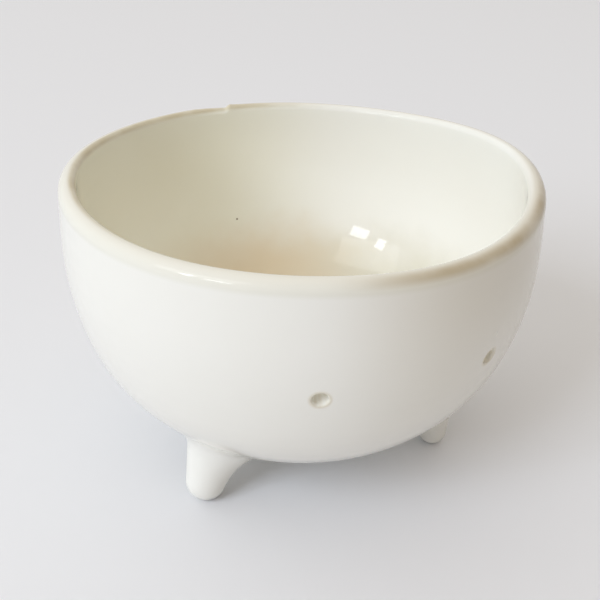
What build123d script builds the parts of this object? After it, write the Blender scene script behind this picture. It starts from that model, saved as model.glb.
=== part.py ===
from build123d import *
from math import asin, cos, degrees, radians, sin, tan
import os

# Yarn bowl: a thrown stoneware bowl on three hand-rolled clay feet, in millimetres.
# The origin is on the table under the bowl's axis, +Z is up and the two yarn holes face -Y.
# The glaze is part of each piece's own surface, so every size is a glazed size.
# Angles are in degrees, and those round the bowl are counted from +X towards +Y.

# --- Bowl ----------------------------------------------------------------------------------
rim_height = 98.3  # table to the top of the lip
rim_radius = 75.0  # outer face of the straight upper wall
bowl_depth = 87.5  # top of the lip down to the lowest point of the underside
belly_drop = 19.2  # top of the lip down to where the straight wall starts to curve in
side_arc_radius = 87.7  # outer face from the belly down to the haunch
haunch_radius = 55.2  # outer face where the side turns under
base_arc_radius = 150.0  # shallow dish of the underside
inner_haunch_radius = 54.0  # inner face, rounder than the outer one, so the wall thickens to the floor
wall_thickness = 5.6  # from the rim down to the haunch
floor_thickness = 7.4

# --- Yarn holes and rim notch --------------------------------------------------------------
hole_radius = 2.15
hole_drop = 36.5  # top of the lip down to each hole's centre, on the outer face
hole_edge_radius = 0.8  # rounding left where the glaze runs over the hole's edges
holes_angle = -86.75  # half way between the two holes
holes_spread = 42.5  # from one hole to the other
notch_angle = 90.0  # where the notch's steep end stands
notch_length = 13.0  # along the rim, from the steep end down the ramp
notch_depth = 0.9

# --- Feet ----------------------------------------------------------------------------------
foot_inset = 26.9  # outer face of the upper wall in to the middle of each foot's tip
tip_flat = 0.3  # how much of each round tip is wiped flat
seam_width = 5.0  # how far the clay smoothed round a foot's root reaches down it and out

# Each foot is rolled by hand, so it has its own tip, its own taper, which is half of the
# cone's angle, and its own lean in towards the bowl's axis.
front_left_angle = 210.0
front_left_tip_radius = 6.1
front_left_taper = 9.0
front_left_lean = 21.0
front_right_angle = 330.0
front_right_tip_radius = 4.9
front_right_taper = 13.0
front_right_lean = 8.0
back_angle = 90.0
back_tip_radius = 5.5
back_taper = 11.0
back_lean = 15.0

# --- Values that follow from the sizes above -------------------------------------------------
lip_outer_radius = 0.62 * wall_thickness  # the lip is rounder outside than inside
lip_inner_radius = 0.36 * wall_thickness
belly_z = rim_height - belly_drop
side_arc_centre = (rim_radius - side_arc_radius, belly_z)
base_arc_centre = (0, rim_height - bowl_depth + base_arc_radius)
inner_base_radius = base_arc_radius - floor_thickness
inner_rim_radius = rim_radius - wall_thickness
base_centre_rise = base_arc_centre[1] - belly_z
# The inner haunch can be no rounder than one that starts right at the belly.
fullest_haunch = (inner_base_radius**2 - inner_rim_radius**2 - base_centre_rise**2) / (
    2 * (inner_base_radius - inner_rim_radius)
)
foot_circle_radius = rim_radius - foot_inset
hole_dip = degrees(asin((hole_drop - belly_drop) / side_arc_radius))
foot_blank_length = bowl_depth / 2  # from the tip's centre to well inside the bowl's outline

os.makedirs("parts", exist_ok=True)


def upright_plane(angle, centre=(0, 0), turn=0):
    """Plane whose X points outward from the bowl's axis at this angle and whose Y is up.

    Its origin is then moved to centre, given in the plane's own X and Y, and the plane
    is turned in itself.
    """
    radial = Plane.XZ.rotated((0, 0, angle))
    return Plane(radial.location * Location((*centre, 0), (0, 0, turn)))


def half_form(wall_inset, floor_inset, corner_radius):
    """Half section of the bowl's solid form, held in from its outer face by the two insets.

    The corner radius is the haunch's, where the side turns into the base.
    """
    with BuildSketch() as form:
        with Locations(base_arc_centre):
            Circle(base_arc_radius - floor_inset)
        with Locations(side_arc_centre):
            Circle(side_arc_radius - wall_inset, mode=Mode.INTERSECT)
        with Locations((0, belly_z)):
            Rectangle(rim_radius, bowl_depth, align=(Align.MIN, Align.MAX), mode=Mode.INTERSECT)
        haunch_corner = form.vertices().sort_by(Axis.Y)[1]
        fillet(haunch_corner, corner_radius)
        with Locations((0, belly_z)):
            Rectangle(rim_radius - wall_inset, belly_drop, align=Align.MIN)
    return form.sketch


outer_form = half_form(0, 0, haunch_radius)
inner_form = half_form(
    wall_thickness, floor_thickness, min(inner_haunch_radius, 0.98 * fullest_haunch)
)

# --- Bowl: the thrown shell with its rounded lip, two yarn holes and rim notch ---------------
with BuildPart() as bowl:
    with BuildSketch(Plane.XZ) as section:
        add(outer_form)
        add(inner_form, mode=Mode.SUBTRACT)
        for side, lip_radius in ((-1, lip_outer_radius), (0, lip_inner_radius)):
            lip_corners = section.vertices().group_by(Axis.Y)[-1].sort_by(Axis.X)
            fillet(lip_corners[side], lip_radius)
    revolve(axis=Axis.Z)

    # The holes are pierced square to the wall, so each axis passes through the side arc's centre.
    for side in (-0.5, 0.5):
        hole_angle = holes_angle + side * holes_spread
        square_to_wall = upright_plane(hole_angle, side_arc_centre, -hole_dip)
        with Locations(Plane(square_to_wall.origin, z_dir=square_to_wall.x_dir)):
            Cylinder(
                hole_radius,
                side_arc_radius + wall_thickness,
                align=(Align.CENTER, Align.CENTER, Align.MIN),
                mode=Mode.SUBTRACT,
            )
        fillet(bowl.edges(Select.LAST), hole_edge_radius)

    # The notch is a shallow ramp along the lip that ends in a steep step.
    lip_top = upright_plane(notch_angle, (0, rim_height))
    with BuildSketch(Plane(lip_top.origin, x_dir=-lip_top.z_dir, z_dir=lip_top.x_dir)):
        with BuildLine():
            Polyline(
                (0, -notch_depth),
                (0, wall_thickness),
                (notch_length, wall_thickness),
                (notch_length, 0),
                close=True,
            )
        make_face()
    extrude(amount=rim_radius + wall_thickness, mode=Mode.SUBTRACT)
bowl.part.label = "bowl"
export_step(bowl.part, "parts/bowl.step")

# --- The bowl's outline as one solid, which the feet and their seams are cut to --------------
with BuildPart() as bowl_outline:
    with BuildSketch(Plane.XZ):
        add(outer_form)
    revolve(axis=Axis.Z)

feet = {
    "front_left": (front_left_angle, front_left_tip_radius, front_left_taper, front_left_lean),
    "front_right": (front_right_angle, front_right_tip_radius, front_right_taper, front_right_lean),
    "back": (back_angle, back_tip_radius, back_taper, back_lean),
}
for place, (angle, tip_radius, taper, lean) in feet.items():
    # In the foot's own plane Y runs up its axis from the centre of its round tip.
    foot_plane = upright_plane(angle, (foot_circle_radius, tip_radius - tip_flat), lean)
    foot_axis = Axis(foot_plane.origin, foot_plane.y_dir)
    cone_foot = (tip_radius * cos(radians(taper)), -tip_radius * sin(radians(taper)))
    root_radius = cone_foot[0] + (foot_blank_length - cone_foot[1]) * tan(radians(taper))

    # --- Foot blank: a rolled cone with a round tip that runs on inside the bowl's outline ----
    with BuildPart() as foot_blank:
        with BuildSketch(foot_plane):
            with BuildLine():
                Line((0, foot_blank_length), (root_radius, foot_blank_length))
                Line((root_radius, foot_blank_length), cone_foot)
                RadiusArc(cone_foot, (0, -tip_radius), tip_radius)
                Line((0, -tip_radius), (0, foot_blank_length))
            make_face()
        revolve(axis=foot_axis)

    # --- Foot: the blank cut to the bowl and wiped flat where it stands -----------------------
    with BuildPart() as foot:
        add(foot_blank.part)
        add(bowl_outline.part, mode=Mode.SUBTRACT)
        split(bisect_by=Plane.XY, keep=Keep.TOP)
    foot.part.label = "foot_" + place
    export_step(foot.part, "parts/foot_" + place + ".step")

    # --- Seam: the roll of clay smoothed slantwise into the corner of the foot and the bowl ----
    with BuildPart() as seam_coil:
        add(bowl_outline.part)
        add(foot_blank.part)
        chamfer(seam_coil.edges(Select.NEW), seam_width)
        add(foot_blank.part, mode=Mode.SUBTRACT)
        add(bowl_outline.part, mode=Mode.SUBTRACT)
    seam_coil.part.label = "seam_coil_" + place
    export_step(seam_coil.part, "parts/seam_coil_" + place + ".step")
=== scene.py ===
from math import atan2, cos, degrees, hypot, pi, radians, sin, sqrt, tan

import bmesh
import bpy
from mathutils import Matrix, Vector


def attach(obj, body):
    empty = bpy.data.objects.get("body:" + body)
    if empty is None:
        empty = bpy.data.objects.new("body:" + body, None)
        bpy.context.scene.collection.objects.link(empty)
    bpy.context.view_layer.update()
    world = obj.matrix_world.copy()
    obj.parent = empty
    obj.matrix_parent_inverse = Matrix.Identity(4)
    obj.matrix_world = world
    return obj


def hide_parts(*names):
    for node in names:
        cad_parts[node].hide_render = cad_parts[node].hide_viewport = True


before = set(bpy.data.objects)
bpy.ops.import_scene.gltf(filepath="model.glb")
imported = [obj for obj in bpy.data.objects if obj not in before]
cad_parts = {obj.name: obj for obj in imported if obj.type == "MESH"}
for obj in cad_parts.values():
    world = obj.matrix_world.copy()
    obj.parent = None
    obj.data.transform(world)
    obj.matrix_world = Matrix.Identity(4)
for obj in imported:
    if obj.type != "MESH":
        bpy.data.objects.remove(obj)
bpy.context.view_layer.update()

# --- Bowl ------------------------------------------------------------------------------------
# The bowl is stoneware thrown on the wheel and turned underneath while leather hard. It was
# pierced twice for the yarn and nicked once at the rim, and then dipped in a glossy white
# glaze. Its section is drawn from the middle of the underside out, over the lip and back in.

MM = 0.001
RIM_HEIGHT = 98.3 * MM
RIM_RADIUS = 75.0 * MM
BOWL_DEPTH = 87.5 * MM
BELLY_DROP = 19.2 * MM
WALL = 5.6 * MM
FLOOR = 7.4 * MM
LIP_OUTER_RADIUS = 0.62 * WALL
LIP_INNER_RADIUS = 0.36 * WALL
LIP_OUTER_CENTRE = Vector((RIM_RADIUS - LIP_OUTER_RADIUS, 0, RIM_HEIGHT - LIP_OUTER_RADIUS))
LIP_INNER_CENTRE = Vector((RIM_RADIUS - WALL + LIP_INNER_RADIUS, 0, RIM_HEIGHT - LIP_INNER_RADIUS))
BASE_RADIUS = 150.0 * MM
BASE_CENTRE = Vector((0, 0, RIM_HEIGHT - BOWL_DEPTH + BASE_RADIUS))
SIDE_RADIUS = 87.7 * MM
SIDE_CENTRE = Vector((RIM_RADIUS - SIDE_RADIUS, 0, RIM_HEIGHT - BELLY_DROP))
HAUNCH_RADIUS = 55.2 * MM
INNER_HAUNCH_RADIUS = 54.0 * MM
TURNS_ROUND_BOWL = 360


def haunch_arc(haunch_radius, wall_inset, floor_inset):
    """Fits the haunch's arc smoothly between the base's arc and the side's.

    Gives its centre, and the degrees that the base, the haunch and the side then sweep.
    """
    to_base = BASE_RADIUS - floor_inset - haunch_radius
    to_side = SIDE_RADIUS - wall_inset - haunch_radius
    line = BASE_CENTRE - SIDE_CENTRE
    way = line.normalized()
    along = (line.length**2 + to_side**2 - to_base**2) / (2 * line.length)
    across = sqrt(to_side**2 - along**2)
    centre = SIDE_CENTRE + way * along + Vector((way.z, 0, -way.x)) * across
    base_turn = degrees(atan2(centre.x, BASE_CENTRE.z - centre.z))
    side_turn = degrees(atan2(SIDE_CENTRE.z - centre.z, centre.x - SIDE_CENTRE.x))
    return centre, base_turn, 90 - base_turn - side_turn, side_turn


HAUNCH_CENTRE, base_turn, haunch_turn, side_turn = haunch_arc(HAUNCH_RADIUS, 0, 0)
INNER_HAUNCH_CENTRE, inner_base_turn, inner_haunch_turn, inner_side_turn = haunch_arc(
    INNER_HAUNCH_RADIUS, WALL, FLOOR
)
INNER_HAUNCH_TOP = SIDE_CENTRE.z - (SIDE_RADIUS - WALL) * sin(radians(inner_side_turn))


def swept(form, vert, centre, sweep, steps, rise=0.0):
    """Sweeps the section's last vertex round a centre, or straight up, and returns its end."""
    arc = bmesh.ops.spin(
        form,
        geom=[vert],
        cent=centre,
        axis=(0, -1, 0),
        dvec=(0, 0, rise / steps),
        angle=radians(sweep),
        steps=steps,
    )
    return arc["geom_last"][0]


# Each sweep takes its centre, its degrees and its steps; a sweep of no degrees rises straight.
clay = bmesh.new()
thrown_inside = clay.verts.layers.float.new("inside")
end = clay.verts.new((0, 0, RIM_HEIGHT - BOWL_DEPTH))
end = swept(clay, end, BASE_CENTRE, base_turn, 12)
end = swept(clay, end, HAUNCH_CENTRE, haunch_turn, 26)
end = swept(clay, end, SIDE_CENTRE, side_turn, 14)
end = swept(clay, end, SIDE_CENTRE, 0, 8, LIP_OUTER_CENTRE.z - SIDE_CENTRE.z)
end = swept(clay, end, LIP_OUTER_CENTRE, 90, 14)
outside_count = len(clay.verts)
lip_top = clay.verts.new((LIP_INNER_CENTRE.x, 0, RIM_HEIGHT))
clay.edges.new((end, lip_top))
end = swept(clay, lip_top, LIP_INNER_CENTRE, 90, 10)
end = swept(clay, end, SIDE_CENTRE, 0, 8, SIDE_CENTRE.z - LIP_INNER_CENTRE.z)
end = swept(clay, end, SIDE_CENTRE, -inner_side_turn, 10)
end = swept(clay, end, INNER_HAUNCH_CENTRE, -inner_haunch_turn, 32)
end = swept(clay, end, BASE_CENTRE, -inner_base_turn, 10)
end.co.x = 0
clay.verts.ensure_lookup_table()
for vert in clay.verts[outside_count:]:
    vert[thrown_inside] = 1.0
bmesh.ops.spin(
    clay,
    geom=clay.verts[:] + clay.edges[:],
    cent=(0, 0, 0),
    axis=(0, 0, 1),
    angle=2 * pi,
    steps=TURNS_ROUND_BOWL,
    use_merge=True,
)
bmesh.ops.remove_doubles(clay, verts=clay.verts, dist=0.001 * MM)
bmesh.ops.recalc_face_normals(clay, faces=clay.faces)

# The mesh is made finer where the yarn holes and the rim's nick will be.
HOLE_ANGLES = (radians(-108.0), radians(-65.5))
HOLE_RADIUS = 2.15 * MM
HOLE_DIP = radians(11.0)
HOLE_EDGE = 0.8 * MM
HOLE_PATCH = 6.5 * MM
HOLE_PATCH_MARGIN = 2 * MM


def hole_frame(angle):
    """Gives a hole's own axes: Z runs out along the hole from the side arc's centre."""
    inward = Matrix.Rotation(angle, 4, "Z") @ Matrix.Translation(SIDE_CENTRE)
    return inward @ Matrix.Rotation(pi / 2 + HOLE_DIP, 4, "Y")


for angle in HOLE_ANGLES:
    into_hole = hole_frame(angle).inverted()
    for _ in range(2):
        patch = [
            face
            for face in clay.faces
            if (into_hole @ face.calc_center_median()).xy.length < HOLE_PATCH
            and (into_hole @ face.calc_center_median()).z > 0
        ]
        edges = list({edge for face in patch for edge in face.edges})
        bmesh.ops.subdivide_edges(clay, edges=edges, cuts=1, use_grid_fill=True)
    # The new vertices lie on flat facets, so they are moved out to the curved wall.
    for vert in clay.verts:
        spot = into_hole @ vert.co
        if spot.xy.length < HOLE_PATCH + HOLE_PATCH_MARGIN and spot.z > 0:
            round_axis = Matrix.Rotation(atan2(vert.co.y, vert.co.x), 3, "Z")
            inside = vert[thrown_inside] > 0.5
            centre = round_axis @ SIDE_CENTRE
            radius = SIDE_RADIUS - WALL if inside else SIDE_RADIUS
            if inside and vert.co.z < INNER_HAUNCH_TOP:
                centre = round_axis @ INNER_HAUNCH_CENTRE
                radius = INNER_HAUNCH_RADIUS
            vert.co = centre + (vert.co - centre).normalized() * radius

NICK_AT = -1.2 * MM
NICK_LENGTH = 13.0 * MM
NICK_DEPTH = 0.9 * MM
NICK_STEP = 2.4 * MM
NICK_SLANT = 1.6 * MM
NICK_CORNER = 0.4 * MM
NICK_CORNER_LENGTH = 7.0 * MM
NICK_FADE = 9.0 * MM
NICK_REACH = 6 * MM
NICK_CUTS = (-2.2, -1.7, -1.3, -1.0, -0.7, -0.4, -0.1, 0.2, 0.5, 0.8, 1.1, 1.5, 2.0)
for offset in NICK_CUTS:
    rim = [
        face
        for face in clay.faces
        if face.calc_center_median().y > 0
        and abs(face.calc_center_median().x) < NICK_REACH
        and face.calc_center_median().z > RIM_HEIGHT - NICK_FADE
    ]
    cut = list({part for face in rim for part in (*face.verts, *face.edges)}) + rim
    bmesh.ops.bisect_plane(
        clay,
        geom=cut,
        dist=0.01 * MM,
        plane_co=(NICK_AT + offset * MM, 0, 0),
        plane_no=(1, 0, 0),
    )


def eased(value):
    """Runs from 0 to 1 with a soft start and end."""
    value = min(max(value, 0), 1)
    return value * value * (3 - 2 * value)


for vert in clay.verts:
    if vert.co.y > 0 and vert.co.z > RIM_HEIGHT - NICK_FADE:
        # The step runs slantwise across the lip, further back on its inner side.
        slant = (hypot(vert.co.x, vert.co.y) - RIM_RADIUS + WALL / 2) / WALL
        along = vert.co.x - NICK_AT - slant * NICK_SLANT
        ramp = -NICK_DEPTH * max(0, 1 + min(along, 0) / NICK_LENGTH)
        corner = NICK_CORNER * max(0, 1 - max(along, 0) / NICK_CORNER_LENGTH) ** 2
        shift = ramp + (corner - ramp) * eased(along / NICK_STEP + 0.5)
        vert.co.z += shift * eased((vert.co.z - RIM_HEIGHT + NICK_FADE) / NICK_FADE)


def made(name, form):
    """Turns a finished bmesh into a named, smooth-shaded object."""
    mesh = bpy.data.meshes.new(name)
    form.to_mesh(mesh)
    form.free()
    mesh.shade_smooth()
    mesh.set_sharp_from_angle(angle=radians(50))
    piece = bpy.data.objects.new(name, mesh)
    bpy.context.scene.collection.objects.link(piece)
    return piece


bowl = made("thrown_bowl", clay)

# Each hole's cutter is a pin that flares at both faces of the wall, so that it leaves the
# soft edges that glaze gives a pierced hole.
FLARE = 78
FLARE_STEP = 13
FLARE_LIP = 0.9 * MM
PIN_PAST_WALL = 3 * MM
for angle in HOLE_ANGLES:
    pin = bmesh.new()
    edge_gap = HOLE_RADIUS + HOLE_EDGE
    outer_face = SIDE_RADIUS
    inner_face = SIDE_RADIUS - WALL
    end = pin.verts.new((0, 0, inner_face - PIN_PAST_WALL))
    wide = pin.verts.new((edge_gap + PIN_PAST_WALL, 0, inner_face - PIN_PAST_WALL))
    pin.edges.new((end, wide))
    turned = [wide]
    for face, side in ((inner_face, 1), (outer_face, -1)):
        centre = Vector((edge_gap, 0, face + side * HOLE_EDGE))
        flare = [
            Vector((-cos(radians(step)), 0, -side * sin(radians(step)))) * HOLE_EDGE + centre
            for step in range(0, FLARE + 1, FLARE_STEP)
        ]
        slope = Vector((tan(radians(FLARE)), 0, -side)) * FLARE_LIP
        flare.append(flare[-1] + slope)
        if side == 1:
            flare.reverse()
        for spot in flare:
            turned.append(pin.verts.new(spot))
            pin.edges.new(turned[-2:])
    wide = pin.verts.new((turned[-1].co.x, 0, outer_face + PIN_PAST_WALL))
    pin.edges.new((turned[-1], wide))
    end = pin.verts.new((0, 0, outer_face + PIN_PAST_WALL))
    pin.edges.new((wide, end))
    bmesh.ops.spin(
        pin,
        geom=pin.verts[:] + pin.edges[:],
        cent=(0, 0, 0),
        axis=(0, 0, 1),
        angle=2 * pi,
        steps=64,
        use_merge=True,
    )
    bmesh.ops.remove_doubles(pin, verts=pin.verts, dist=0.001 * MM)
    bmesh.ops.recalc_face_normals(pin, faces=pin.faces)
    pin.transform(hole_frame(angle))
    cutter = made("hole_cutter", pin)
    pierce = bowl.modifiers.new("pierce", "BOOLEAN")
    pierce.operation = "DIFFERENCE"
    pierce.solver = "EXACT"
    pierce.object = cutter
    bpy.context.view_layer.update()
    pierced = bpy.data.meshes.new_from_object(
        bowl.evaluated_get(bpy.context.evaluated_depsgraph_get())
    )
    bowl.modifiers.clear()
    bowl.data = pierced
    bpy.data.objects.remove(cutter)
bowl.data.name = "thrown_bowl"

# The soft clay was never quite true: the wall spreads and draws in and the rim rises and dips as
# it goes round, and the lip turns in a little. The spread fades out down the wall, above the
# feet, and the rise above the yarn holes. Each wave is its count round the rim, its size in
# millimetres and its crest in degrees. The glaze needs the section as it was before this, and
# how near each point is to a hole's edge.
SPREAD_WAVES = ((0, 0.55, 0), (1, 0.23, 273), (2, 0.15, 212), (3, 0.27, 66))
RISE_WAVES = ((0, 0.55, 0), (1, 0.94, 69), (2, 0.99, 338), (3, 0.47, 341), (4, 0.41, 302))
SPREAD_FROM = 30 * MM
SPREAD_FULL = 80 * MM
RISE_FROM = 66 * MM
RISE_FULL = 96 * MM
LIP_TURN_IN = 0.5 * MM
LIP_TURN_FROM = 82 * MM
HOLE_EDGE_MIDDLE = 2.7 * MM
HOLE_EDGE_REACH = 0.9 * MM
# Both are made before either is fetched, because making one moves the other.
bowl.data.attributes.new("section", "FLOAT_VECTOR", "POINT")
bowl.data.attributes.new("hole_edge", "FLOAT", "POINT")
true_section = bowl.data.attributes["section"]
hole_edge = bowl.data.attributes["hole_edge"]
into_holes = [hole_frame(angle).inverted() for angle in HOLE_ANGLES]
for index, vert in enumerate(bowl.data.vertices):
    true_section.data[index].vector = (vert.co.xy.length, vert.co.z, 0)
    gaps = [into_hole @ vert.co for into_hole in into_holes]
    nearest = min(gap.xy.length if gap.z > 0 else RIM_RADIUS for gap in gaps)
    hole_edge.data[index].value = eased(1 - abs(nearest - HOLE_EDGE_MIDDLE) / HOLE_EDGE_REACH)
    angle = atan2(vert.co.y, vert.co.x)
    spread_share = eased((vert.co.z - SPREAD_FROM) / (SPREAD_FULL - SPREAD_FROM))
    rise_share = eased((vert.co.z - RISE_FROM) / (RISE_FULL - RISE_FROM))
    spread = -LIP_TURN_IN * eased((vert.co.z - LIP_TURN_FROM) / (RIM_HEIGHT - LIP_TURN_FROM))
    rise = 0.0
    for count, size, crest in SPREAD_WAVES:
        spread += spread_share * size * MM * cos(count * angle - radians(crest))
    for count, size, crest in RISE_WAVES:
        rise += rise_share * size * MM * cos(count * angle - radians(crest))
    vert.co += Vector((spread * cos(angle), spread * sin(angle), rise))

# --- Glaze -----------------------------------------------------------------------------------
# The pieces share one dip of a gloss white glaze over buff stoneware, fired until it flowed.
# It runs thin and shows the warm clay at the lip and round the holes, and pools in the bowl.
# Several tints below also paint shade and warm bounce light into it.


def linear(hex_colour):
    """Turns an sRGB hex colour into linear RGBA."""
    channels = [int(hex_colour[i : i + 2], 16) / 255 for i in (1, 3, 5)]
    return [c / 12.92 if c < 0.04045 else ((c + 0.055) / 1.055) ** 2.4 for c in channels] + [1]


def node(tree, kind, links={}, sockets={}, **settings):
    """Adds a shader node with its settings, socket values and links.

    A link comes from a socket, or from a node's first output.
    """
    added = tree.nodes.new("ShaderNode" + kind)
    for name, value in settings.items():
        setattr(added, name, value)
    for name, value in sockets.items():
        added.inputs[name].default_value = value
    for name, source in links.items():
        if isinstance(source, bpy.types.Node):
            source = source.outputs[0]
        tree.links.new(source, added.inputs[name])
    return added


# Gloss stoneware glaze: a hard glass skin, IOR 1.5, almost mirror smooth, over a milky white.
# It gives clear reflections with slightly wavy edges. The buff clay tints it where it is thin.
glaze = bpy.data.materials.new("gloss_white_glaze")
glaze.use_nodes = True
tree = glaze.node_tree
tree.nodes.clear()
spot = node(tree, "TexCoord").outputs["Object"]
inside = node(tree, "Attribute", attribute_name="inside").outputs["Fac"]
height = node(tree, "SeparateXYZ", {"Vector": spot}).outputs["Z"]
section = node(tree, "Attribute", attribute_name="section").outputs["Vector"]


def direction_gap(angle):
    """How far the shaded point lies towards this direction from the bowl's axis."""
    return node(
        tree,
        "VectorMath",
        {0: spot},
        {1: (cos(radians(angle)), sin(radians(angle)), 0)},
        operation="DOT_PRODUCT",
    ).outputs["Value"]


def section_gap(down_from_rim, in_from_rim):
    """How far the shaded point lies from a point of the section, both given in millimetres."""
    return node(
        tree,
        "VectorMath",
        {0: section},
        {1: (RIM_RADIUS - in_from_rim * MM, RIM_HEIGHT - down_from_rim * MM, 0)},
        operation="DISTANCE",
    ).outputs["Value"]


def band(value, start, stop, first, last):
    """Runs softly from the first to the last share as a length goes from start to stop, in mm."""
    return node(
        tree,
        "MapRange",
        {"Value": value},
        {"From Min": start * MM, "From Max": stop * MM, "To Min": first, "To Max": last},
        interpolation_type="SMOOTHSTEP",
    )


def times(first, second):
    """Multiplies two shares."""
    return node(tree, "Math", {0: first, 1: second}, operation="MULTIPLY")


# Where the glaze ran, the edges of its thin and thick places wander by a millimetre or two.
run = node(tree, "TexNoise", {"Vector": spot}, {"Scale": 1 / (14 * MM), "Detail": 3.0})
clouds = node(tree, "TexNoise", {"Vector": spot}, {"Scale": 1 / (38 * MM), "Detail": 2.0})
milk = node(
    tree,
    "MixRGB",
    {"Fac": clouds},
    {"Color1": linear("#F3F0E8"), "Color2": linear("#F1EEE4")},
)
# Inside, the glaze lies thicker and whiter. On the inside's back left wall, which the rim keeps
# in shade, it is tinted a faint greenish yellow: painted warm bounce light.
coat = node(tree, "MixRGB", {"Fac": inside, "Color1": milk}, {"Color2": linear("#F6F5EE")})
painted_bounce_warmth = times(band(direction_gap(150), -10, 45, 0.0, 1.0), inside)
coat = node(tree, "MixRGB", {"Fac": painted_bounce_warmth, "Color1": coat}, {"Color2": linear("#F7F6E7")})

# Over the crown of the lip the glaze is thinner, and the body dulls it; the dulling is also
# painted shade on the lip's upturned top. The gap is how far a point lies in and down from the
# corner that the lip would have if it were square.
crown_gap = node(
    tree, "VectorMath", {0: section}, {1: (-1, -1, 0)}, operation="DOT_PRODUCT"
).outputs["Value"]
crown_gap = node(tree, "Math", {0: crown_gap}, {1: RIM_RADIUS + RIM_HEIGHT}, operation="ADD")
thin_crown_and_shade = band(crown_gap, 2.9, 5.0, 0.6, 0.0)
coat = node(tree, "MixRGB", {"Fac": thin_crown_and_shade, "Color1": coat}, {"Color2": linear("#E7E3D3")})

# On the front right, where the window's light only grazes the bowl, buff clay shows where the
# glaze runs thin along the lip's outer shoulder, deepened there as painted shade, and a wide tan
# band down the wall below it is painted shade.
patchy = node(tree, "MapRange", {"Value": run}, {"From Min": 0.3, "From Max": 0.6, "To Min": 0.6})
shaded_side = band(direction_gap(-58), 46, 72, 0.0, 1.0)
thin_shoulder_and_shade = times(times(band(section_gap(1.1, 1.5), 0.3, 3.3, 1.0, 0.0), shaded_side), patchy)
below_rim = node(tree, "SeparateXYZ", {"Vector": section}).outputs["Y"]
below_rim = node(tree, "Math", {1: below_rim}, {0: RIM_HEIGHT}, operation="SUBTRACT")
# A tan band down the wall below the lip on the front right: painted shade.
painted_wall_shade = times(band(below_rim, 3, 40, 0.28, 0.1), shaded_side)
thin_shoulder_and_shade = node(tree, "Math", {0: thin_shoulder_and_shade, 1: painted_wall_shade}, operation="MAXIMUM")
coat = node(tree, "MixRGB", {"Fac": thin_shoulder_and_shade, "Color1": coat}, {"Color2": linear("#BDAD8E")})

# A fine tan line where the glaze broke over the lip's sharper inner edge, made strongest at the
# back left, where the inner wall lies in shade: partly painted shade.
shaded_edge_side = band(direction_gap(135), 15, 55, 0.12, 0.8)
broken_edge_and_shade = times(times(band(section_gap(0.3, 4.6), 0.5, 2.0, 1.0, 0.0), shaded_edge_side), patchy)
coat = node(
    tree, "MixRGB", {"Fac": broken_edge_and_shade, "Color1": coat}, {"Color2": linear("#C4B48E")}
)

# Round the yarn holes it drew back too, over their rounded edges.
hole_tint = node(tree, "Attribute", attribute_name="hole_edge").outputs["Fac"]
hole_tint = node(tree, "Math", {0: hole_tint}, {1: 0.6}, operation="MULTIPLY")
coat = node(tree, "MixRGB", {"Fac": hole_tint, "Color1": coat}, {"Color2": linear("#D8CDB2")})

# Thick glaze pooled low inside the bowl, a pale buff on the lit right; towards the middle and
# left, where the rim shades the floor, it turns a warm peach that is painted shade and warm bounce
# light.
wander = node(tree, "Math", {0: run}, {1: 12 * MM}, operation="MULTIPLY")
pool_line = node(tree, "Math", {0: height, 1: wander}, operation="ADD")
pool_across = node(tree, "Math", {0: direction_gap(0), 1: wander}, operation="ADD")
pool_and_painted_shade = times(band(pool_line, 44, 66, 1.0, 0.0), band(pool_across, -45, 10, 0.15, 1.0))
pool_and_painted_shade = times(pool_and_painted_shade, inside)
lit_side = band(pool_across, 14, 58, 0.0, 1.0)
pool_and_shade_colour = node(
    tree,
    "MixRGB",
    {"Fac": lit_side},
    {"Color1": linear("#EADBBF"), "Color2": linear("#E3E0D0")},
)
coat = node(tree, "MixRGB", {"Fac": pool_and_painted_shade, "Color1": coat, "Color2": pool_and_shade_colour})

# One iron pinhole, half a millimetre across, on the inside's back left.
pinhole_gap = node(
    tree,
    "VectorMath",
    {0: spot},
    {1: (-0.1 * MM, 65.8 * MM, 55.1 * MM)},
    operation="DISTANCE",
).outputs["Value"]
pinhole = times(band(pinhole_gap, 0.2, 0.55, 1.0, 0.0), inside)
coat = node(tree, "MixRGB", {"Fac": pinhole, "Color1": coat}, {"Color2": linear("#8B7A5E")})

# The tips were wiped before firing, so bare buff clay shows where the feet stand, dry and dull.
wiped_line = node(tree, "Math", {0: run}, {1: 1.2 * MM}, operation="MULTIPLY")
wiped_line = node(tree, "Math", {0: height, 1: wiped_line}, operation="ADD")
wiped = node(
    tree,
    "MapRange",
    {"Value": wiped_line},
    {"From Min": 0.7 * MM, "From Max": 0.9 * MM, "To Min": 1.0, "To Max": 0.0},
)
coat = node(tree, "MixRGB", {"Fac": wiped, "Color1": coat}, {"Color2": linear("#C7B494")})

gloss = node(tree, "MapRange", {"Value": run}, {"To Min": 0.03, "To Max": 0.07})
dry = node(tree, "Math", {0: wiped}, {1: 0.8}, operation="MULTIPLY")
roughness = node(tree, "Math", {0: gloss, 1: dry}, operation="ADD")

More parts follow.
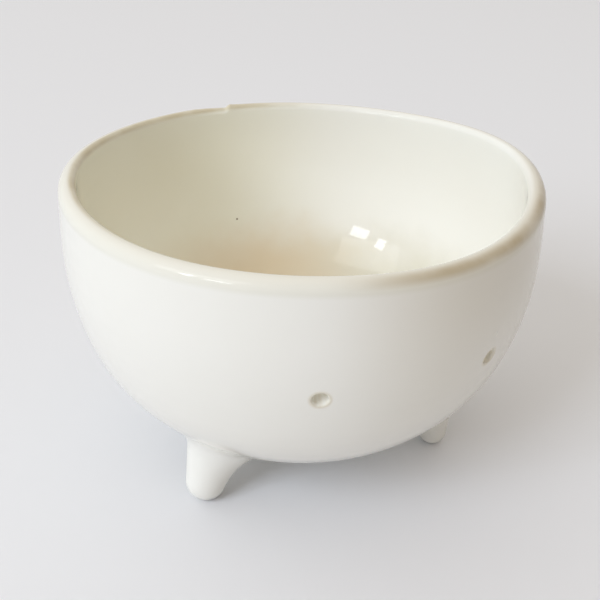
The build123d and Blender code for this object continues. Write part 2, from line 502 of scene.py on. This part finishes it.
# The skin waves gently over 16 mm or so, has a fine grain and faint throwing rings 5.2 mm apart,
# and dips at the pinhole.
ripple = node(tree, "TexNoise", {"Vector": spot}, {"Scale": 1 / (16 * MM), "Detail": 1.0})
ripple = node(tree, "Math", {0: ripple}, {1: 0.05 * MM}, operation="MULTIPLY")
grain = node(tree, "TexNoise", {"Vector": spot}, {"Scale": 1 / (2.2 * MM), "Detail": 1.0})
grain = node(tree, "Math", {0: grain}, {1: 0.0018 * MM}, operation="MULTIPLY")
ring_turn = node(tree, "Math", {0: height}, {1: 2 * pi / (5.2 * MM)}, operation="MULTIPLY")
ring_drift = node(tree, "Math", {0: clouds}, {1: 5.0}, operation="MULTIPLY")
ring_turn = node(tree, "Math", {0: ring_turn, 1: ring_drift}, operation="ADD")
rings = node(tree, "Math", {0: ring_turn}, operation="SINE")
rings = node(tree, "Math", {0: rings}, {1: 0.004 * MM}, operation="MULTIPLY")
pricks = node(tree, "Math", {0: pinhole}, {1: -0.05 * MM}, operation="MULTIPLY")
relief = node(tree, "Math", {0: ripple, 1: grain}, operation="ADD")
relief = node(tree, "Math", {0: relief, 1: rings}, operation="ADD")
relief = node(tree, "Math", {0: relief, 1: pricks}, operation="ADD")
bump = node(tree, "Bump", {"Height": relief}, {"Strength": 1.0, "Distance": 1.0})
skin = node(
    tree,
    "BsdfPrincipled",
    {"Base Color": coat, "Roughness": roughness, "Normal": bump},
    {"IOR": 1.5},
)
node(tree, "OutputMaterial", {"Surface": skin})
bowl.data.materials.append(glaze)

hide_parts("bowl")
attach(bowl, "root")

# --- Feet ------------------------------------------------------------------------------------
# Three stubs of clay rolled by hand, each with its own thickness, taper and lean. They were
# pressed on under the haunch before glazing, and their round tips were wiped where they stand.

FOOT_INSET = 26.9 * MM
FOOT_CIRCLE = RIM_RADIUS - FOOT_INSET
TIP_FLAT = 0.3 * MM
INTO_WALL = 2.0 * MM
CONE_LINE = 10 * MM
CONE_START_GAP = 0.01 * MM
HAUNCH_SLIDES = 12
feet = {
    "front_left": dict(angle=210, tip=6.6, taper=12, lean=24, drag=6.0, drag_angle=337),
    "front_right": dict(angle=330, tip=4.9, taper=13, lean=8, drag=0.0, drag_angle=0),
    "back": dict(angle=90, tip=5.5, taper=11, lean=15, drag=0.0, drag_angle=0),
}


def onto_haunch(start, direction, depth=0.0):
    """Slides a point along a direction until it is this deep inside the bowl's haunch."""
    spot = start.copy()
    for _ in range(HAUNCH_SLIDES):
        centre = Matrix.Rotation(atan2(spot.y, spot.x), 3, "Z") @ HAUNCH_CENTRE
        spot += direction * ((spot - centre).length - HAUNCH_RADIUS + depth)
    return spot


for place, shape in feet.items():
    tip = shape["tip"] * MM
    taper = radians(shape["taper"])
    stand = (
        Matrix.Rotation(radians(shape["angle"]), 4, "Z")
        @ Matrix.Translation((FOOT_CIRCLE, 0, tip - TIP_FLAT))
        @ Matrix.Rotation(-radians(shape["lean"]), 4, "Y")
    )
    shape["stand"] = stand
    rolled = bmesh.new()
    end = rolled.verts.new((0, 0, -tip))
    end = swept(rolled, end, (0, 0, 0), 90 - shape["taper"], 24)
    cone_start = end.co.z
    root = rolled.verts.new(end.co + Vector((sin(taper), 0, cos(taper))) * CONE_LINE)
    cone_line = rolled.edges.new((end, root))
    bmesh.ops.subdivide_edges(rolled, edges=[cone_line], cuts=12)
    bmesh.ops.spin(
        rolled,
        geom=rolled.verts[:] + rolled.edges[:],
        cent=(0, 0, 0),
        axis=(0, 0, 1),
        angle=2 * pi,
        steps=96,
        use_merge=True,
    )
    bmesh.ops.remove_doubles(rolled, verts=rolled.verts, dist=0.001 * MM)
    for vert in rolled.verts:
        if vert.co.z > cone_start + CONE_START_GAP:
            share = (vert.co.z - cone_start) / (CONE_LINE * cos(taper))
            along = Vector((vert.co.x, vert.co.y, 0)).normalized() * sin(taper)
            along.z = cos(taper)
            foot_of_line = vert.co - along * (vert.co.z - cone_start) / cos(taper)
            turned = stand.to_3x3() @ along
            top = onto_haunch(stand @ foot_of_line, turned, INTO_WALL)
            vert.co = foot_of_line + along * (top - stand @ foot_of_line).length * share
    bmesh.ops.holes_fill(rolled, edges=[edge for edge in rolled.edges if edge.is_boundary])
    rolled.transform(stand)
    bmesh.ops.bisect_plane(
        rolled,
        geom=rolled.verts[:] + rolled.edges[:] + rolled.faces[:],
        plane_co=(0, 0, 0),
        plane_no=(0, 0, -1),
        clear_outer=True,
    )
    bmesh.ops.holes_fill(rolled, edges=[edge for edge in rolled.edges if edge.is_boundary])
    bmesh.ops.recalc_face_normals(rolled, faces=rolled.faces)
    foot = made("rolled_foot_" + place, rolled)
    foot.data.materials.append(glaze)
    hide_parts("foot_" + place)
    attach(foot, "root")

# --- Seams -----------------------------------------------------------------------------------
# A thin coil of clay went round each foot's root and was smoothed into the foot and the bowl
# with a fingertip, so that the foot flares softly into the haunch. The front left one was
# dragged further on one side and held shorter on the other.

COIL_RADIUS = 1
RING_RADIUS = 3
SEAM_DOWN = 8.5 * MM
SEAM_OUT = 9.0 * MM
SEAM_BURIED = 1.6 * MM
SEAM_SUNK = 0.12 * MM
SEAM_HELD = 0.65
for place, shape in feet.items():
    stand = shape["stand"]
    tip = shape["tip"] * MM
    taper = radians(shape["taper"])
    drag_angle = radians(shape["drag_angle"])
    drag_way = Vector((cos(drag_angle), sin(drag_angle), 0))
    coil = bmesh.new()
    bmesh.ops.create_circle(coil, segments=32, radius=COIL_RADIUS)
    coil.transform(Matrix.Translation((RING_RADIUS, 0, 0)) @ Matrix.Rotation(pi / 2, 4, "X"))
    bmesh.ops.spin(
        coil,
        geom=coil.verts[:] + coil.edges[:],
        cent=(0, 0, 0),
        axis=(0, 0, 1),
        angle=2 * pi,
        steps=96,
        use_merge=True,
    )
    bmesh.ops.remove_doubles(coil, verts=coil.verts, dist=0.001)
    # The coil starts as a plain ring, and each of its points is then moved to the same share
    # of the way round the foot and over the smoothed curve.
    for vert in coil.verts:
        round_foot = atan2(vert.co.y, vert.co.x)
        round_coil = atan2(vert.co.z, hypot(vert.co.x, vert.co.y) - RING_RADIUS)
        out = Vector((cos(round_foot), sin(round_foot), 0))
        up_side = stand.to_3x3() @ (out * sin(taper) + Vector((0, 0, cos(taper))))
        low = stand @ (out * tip * cos(taper) - Vector((0, 0, tip * sin(taper))))
        corner = onto_haunch(low, up_side)
        outward = stand.to_3x3() @ out
        drag = shape["drag"] * MM * max(outward.dot(drag_way), 0)
        held = shape["drag"] * MM * max(-outward.dot(drag_way), 0) * SEAM_HELD
        on_foot = corner - up_side * (SEAM_DOWN + drag - held)
        centre = Matrix.Rotation(atan2(corner.y, corner.x), 3, "Z") @ HAUNCH_CENTRE
        normal = (corner - centre).normalized()
        along_bowl = (outward - normal * outward.dot(normal)).normalized()
        reach = SEAM_OUT + drag / 2 - held
        on_bowl = onto_haunch(corner + along_bowl * reach, -normal, SEAM_SUNK)
        centre = Matrix.Rotation(atan2(on_bowl.y, on_bowl.x), 3, "Z") @ HAUNCH_CENTRE
        normal = (on_bowl - centre).normalized()
        meet = low + up_side * (on_bowl - low).dot(normal) / up_side.dot(normal)
        part = round_coil / pi
        if part >= 0:
            vert.co = (
                on_foot * (1 - part) ** 2 + meet * 2 * part * (1 - part) + on_bowl * part**2
            )
            continue
        buried = corner + (up_side - outward).normalized() * SEAM_BURIED
        if part > -0.5:
            vert.co = on_foot.lerp(buried, -part * 2)
        else:
            vert.co = buried.lerp(on_bowl, -part * 2 - 1)
    bmesh.ops.recalc_face_normals(coil, faces=coil.faces)
    seam = made("smoothed_seam_" + place, coil)
    seam.data.materials.append(glaze)
    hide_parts("seam_coil_" + place)
    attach(seam, "root")

# --- Table -----------------------------------------------------------------------------------
# A wide table top of smooth board, painted matt white, which the bowl stands on.

TABLE_RADIUS = 12
table_form = bmesh.new()
bmesh.ops.create_circle(table_form, cap_ends=True, segments=96, radius=TABLE_RADIUS)
table = made("table", table_form)
# Matt white paint: a soft even white with a faint blue cast, too dull to mirror the feet.
paint = bpy.data.materials.new("matt_white_board")
paint.use_nodes = True
board = paint.node_tree.nodes["Principled BSDF"]
board.inputs["Base Color"].default_value = linear("#EBEBED")
board.inputs["Roughness"].default_value = 0.6
table.data.materials.append(paint)

# --- Light -----------------------------------------------------------------------------------
# A window over the left shoulder with two clear panes below its net curtain, a soft lamp beside
# it that carries most of the light but leaves no reflection, and an even pale room.
WINDOW_DISTANCE = 5.0
FAR_WALL_ANGLE = 110
BOWL_MIDDLE = Vector((0, 0, 60 * MM))


def soft_light(name, azimuth, height, width, tall, brightness, colour, turn=0):
    """Hangs one lit rectangle; its place, size and turn are angles seen from the bowl."""
    pane = bpy.data.lights.new(name, "AREA")
    pane.shape = "RECTANGLE"
    pane.size = 2 * WINDOW_DISTANCE * tan(radians(width / 2))
    pane.size_y = 2 * WINDOW_DISTANCE * tan(radians(tall / 2))
    pane.energy = brightness * pi * pane.size * pane.size_y
    pane.color = colour
    lamp = bpy.data.objects.new(name, pane)
    away = Matrix.Rotation(radians(azimuth), 3, "Z") @ Matrix.Rotation(-radians(height), 3, "Y")
    lamp.location = BOWL_MIDDLE + away @ Vector((WINDOW_DISTANCE, 0, 0))
    facing = (BOWL_MIDDLE - lamp.location).to_track_quat("-Z", "Y").to_matrix()
    lamp.rotation_euler = (facing @ Matrix.Rotation(radians(turn), 3, "Z")).to_euler()
    lamp.visible_camera = False
    bpy.context.scene.collection.objects.link(lamp)
    return lamp


soft_light("near_pane", 209.3, 25.2, 10.5, 6.6, 6.9, (0.97, 1.0, 1.04), -6)
soft_light("far_pane", 193, 27.7, 5.2, 7.2, 8.5, (0.97, 1.0, 1.04))
soft_light("net_curtain", 196, 38, 36, 20, 1.3, (1.0, 1.0, 1.0), 15)
main_lamp = soft_light("main_lamp", 203, 31, 24, 31, 5.0, (0.87, 1.0, 1.2))
main_lamp.visible_glossy = False

room = bpy.data.worlds.new("pale_room")
bpy.context.scene.world = room
room.use_nodes = True
tree = room.node_tree
tree.nodes.clear()
direction = node(tree, "TexCoord").outputs["Generated"]
upward = node(
    tree, "VectorMath", {0: direction}, {1: (0, 0, 1)}, operation="DOT_PRODUCT"
).outputs["Value"]
upward = node(tree, "Math", {0: upward}, {1: 0.0}, operation="MAXIMUM")
backward = node(
    tree,
    "VectorMath",
    {0: direction},
    {1: (cos(radians(FAR_WALL_ANGLE)), sin(radians(FAR_WALL_ANGLE)), 0)},
    operation="DOT_PRODUCT",
).outputs["Value"]
backward = node(tree, "Math", {0: backward}, {1: 0.0}, operation="MAXIMUM")
ceiling = node(
    tree, "VectorMath", {"Scale": upward}, {0: (0.85, 0.77, 0.68)}, operation="SCALE"
)
far_wall = node(
    tree, "VectorMath", {"Scale": backward}, {0: (0.55, 0.64, 0.7)}, operation="SCALE"
)
room_light = node(tree, "VectorMath", {0: ceiling, 1: far_wall}, operation="ADD")
light = node(tree, "Background", {"Color": room_light}, {"Strength": 1.0})
backdrop = node(tree, "Background", sockets={"Color": linear("#DEDDDD"), "Strength": 1.0})
rays = node(tree, "LightPath")
seen = node(
    tree,
    "Math",
    {0: rays.outputs["Is Camera Ray"], 1: rays.outputs["Is Glossy Ray"]},
    operation="MAXIMUM",
)
seen = node(
    tree, "Math", {0: seen, 1: rays.outputs["Is Transmission Ray"]}, operation="MAXIMUM"
)
mixed = node(tree, "MixShader", {0: seen, 1: light, 2: backdrop})
node(tree, "OutputWorld", {"Surface": mixed})

# --- Camera ----------------------------------------------------------------------------------
# A camera with a lens a little longer than normal stands in front of the bowl, to its left, and
# looks down on it from just above twice its height, with a slight roll.
CAMERA_PLACE = Vector((-107.2, -258.8, 203.5)) * MM
CAMERA_TURN = -22.5
CAMERA_DIP = 28.35
CAMERA_ROLL = 0.0185
lens = bpy.data.cameras.new("camera")
lens.lens = 56.75
lens.sensor_width = 36
camera = bpy.data.objects.new("camera", lens)
camera.matrix_world = (
    Matrix.Translation(CAMERA_PLACE)
    @ Matrix.Rotation(radians(CAMERA_TURN), 4, "Z")
    @ Matrix.Rotation(radians(90 - CAMERA_DIP), 4, "X")
    @ Matrix.Rotation(CAMERA_ROLL, 4, "Z")
)
bpy.context.scene.collection.objects.link(camera)
bpy.context.scene.camera = camera
bpy.context.scene.view_settings.view_transform = "Standard"
